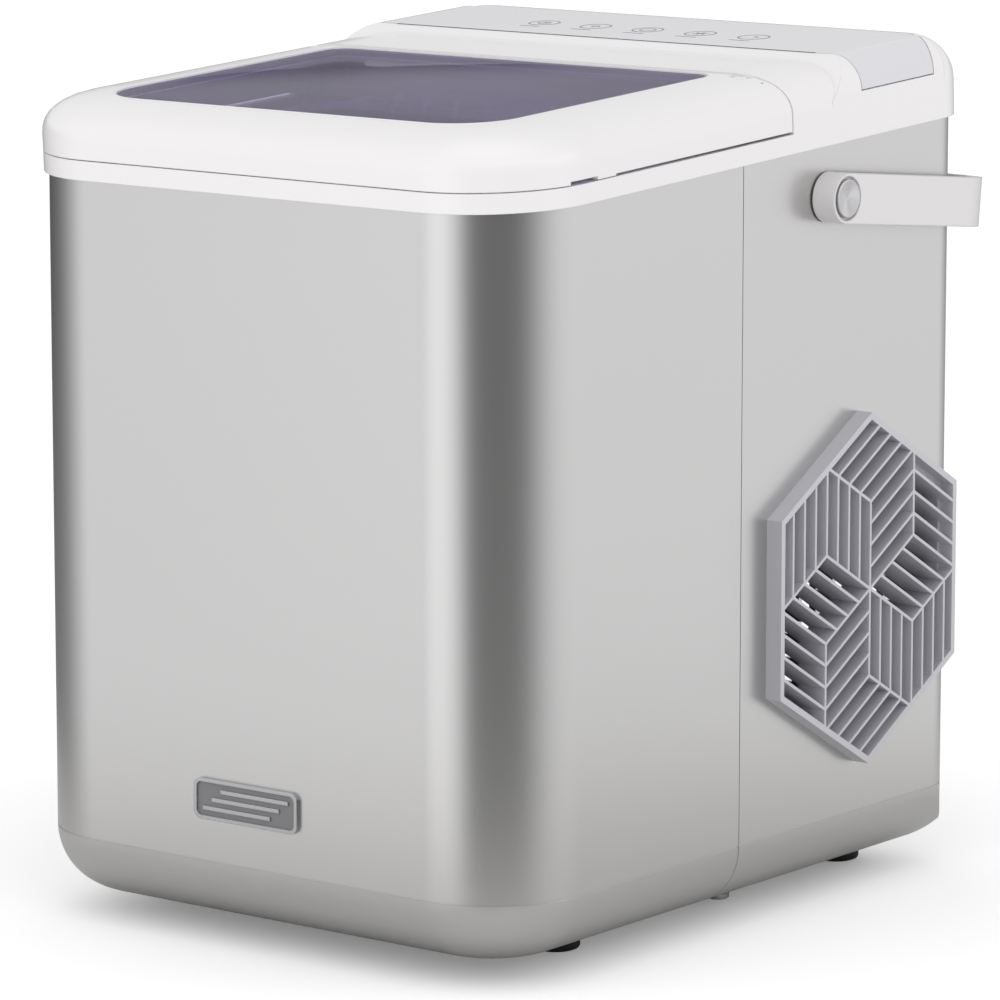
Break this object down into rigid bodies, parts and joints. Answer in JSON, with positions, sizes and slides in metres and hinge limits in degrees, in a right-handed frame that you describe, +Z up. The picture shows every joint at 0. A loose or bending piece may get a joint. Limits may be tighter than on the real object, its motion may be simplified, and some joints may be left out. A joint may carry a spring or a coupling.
{
  "type": "countertop ice maker",
  "caption": "Countertop bullet-ice maker with a tilted hinged lid, smoked window, rear control deck, folding bail handle and hexagonal side grilles.",
  "frame": {"origin": "centre of the bounding box at the height of the feet's soles", "axes": "+Z up, -Y towards the front of the machine, +X to the right of someone facing its front"},
  "size_m": [0.2424, 0.2858, 0.3042],
  "materials": {
    "silver_shell": "satin",
    "grille_silver": "satin",
    "pearl_white": "satin pearl",
    "panel_grey": "gloss",
    "icon_ink": "matt",
    "smoke_window": "polished",
    "handle_grey": "satin",
    "bright_metal": "bright",
    "brushed_cap": "spun",
    "steel": "plain",
    "black_rubber": "matt",
    "dark_plastic": "matt",
    "base_grey": "matt",
    "liner_white": "gloss",
    "foam": "matt",
    "clear_basket": "gloss",
    "nickel": "satin",
    "aluminium_fin": "plain",
    "black_paint": "semi gloss",
    "copper": "plain",
    "board_green": "matt",
    "coil_blue": "matt",
    "silicone": "satin"
  },
  "bodies": {
    "body": {"base_pan": "base_grey", "feet": "black_rubber", "front_housing": "silver_shell", "rear_housing": "silver_shell", "side_grille_right": "grille_silver", "side_grille_left": "grille_silver", "top_cover": "pearl_white", "control_fascia": "panel_grey", "touch_icons": "icon_ink", "control_board": "board_green", "badge_plate": "brushed_cap", "hinge_pins": "steel", "handle_bushes": "steel", "liner": "liner_white", "insulation": "foam", "ice_chute": "liner_white", "evaporator": "nickel", "evaporator_bracket": "dark_plastic", "tray_motor": "dark_plastic", "water_pump": "dark_plastic", "water_tube": "silicone", "drain_tube": "silicone", "compressor": "black_paint", "compressor_grommets": "black_rubber", "terminal_cover": "dark_plastic", "condenser": "aluminium_fin", "fan_shroud": "dark_plastic", "fan_motor": "steel", "filter_drier": "copper", "solenoid_valve": "coil_blue", "refrigerant_pipes": "copper", "power_board": "board_green", "ice_sensors": "dark_plastic", "cord_gland": "dark_plastic", "housing_screws": "steel"},
    "lid": {"lid_frame": "pearl_white", "lid_window": "smoke_window", "lid_buffers": "silicone"},
    "handle_bail": {"handle": "handle_grey", "handle_caps": "brushed_cap"},
    "fan": {"fan_rotor": "dark_plastic"},
    "tray": {"water_tray": "clear_basket", "tray_shaft": "steel"},
    "pusher": {"ice_pusher": "liner_white"},
    "impeller": {"pump_impeller": "liner_white"},
    "basket": {"ice_basket": "clear_basket"},
    "scoop": {"ice_scoop": "clear_basket"},
    "plug": {"drain_plug": "bright_metal"}
  },
  "joints": [
    {"name": "lid_hinge", "type": "hinge", "parent": "body", "child": "lid", "pos_m": [0, 0.01062, 0.29328], "axis": [-1, 0, 0], "range_deg": [0, 80]},
    {"name": "handle_swing", "type": "hinge", "parent": "body", "child": "handle_bail", "pos_m": [0, 0.03803, 0.2535], "axis": [1, 0, 0], "range_deg": [0, 96]},
    {"name": "fan_spin", "type": "hinge", "parent": "body", "child": "fan", "pos_m": [-0.095, 0.07343, 0.098], "axis": [1, 0, 0], "continuous": true},
    {"name": "tray_tilt", "type": "hinge", "parent": "body", "child": "tray", "pos_m": [0, -0.00157, 0.206], "axis": [1, 0, 0], "range_deg": [0, 90]},
    {"name": "pusher_swing", "type": "hinge", "parent": "body", "child": "pusher", "pos_m": [0, -0.00157, 0.206], "axis": [1, 0, 0], "range_deg": [-108.5, 0]},
    {"name": "pump_spin", "type": "hinge", "parent": "body", "child": "impeller", "pos_m": [0.04, 0.01343, 0.086], "axis": [0, 0, 1], "continuous": true},
    {"name": "basket_lift", "type": "slide", "parent": "body", "child": "basket", "axis": [0, 0, 1], "range_m": [0, 0.1]},
    {"name": "scoop_lift", "type": "slide", "parent": "basket", "child": "scoop", "axis": [0, 0, 1], "range_m": [0, 0.03]},
    {"name": "plug_pull", "type": "slide", "parent": "body", "child": "plug", "axis": [0, 0, -1], "range_m": [0, 0.018]}
  ],
  "couplings": [
    {"joint": "pusher_swing", "follows": "tray_tilt", "ratio": -1.2}
  ]
}
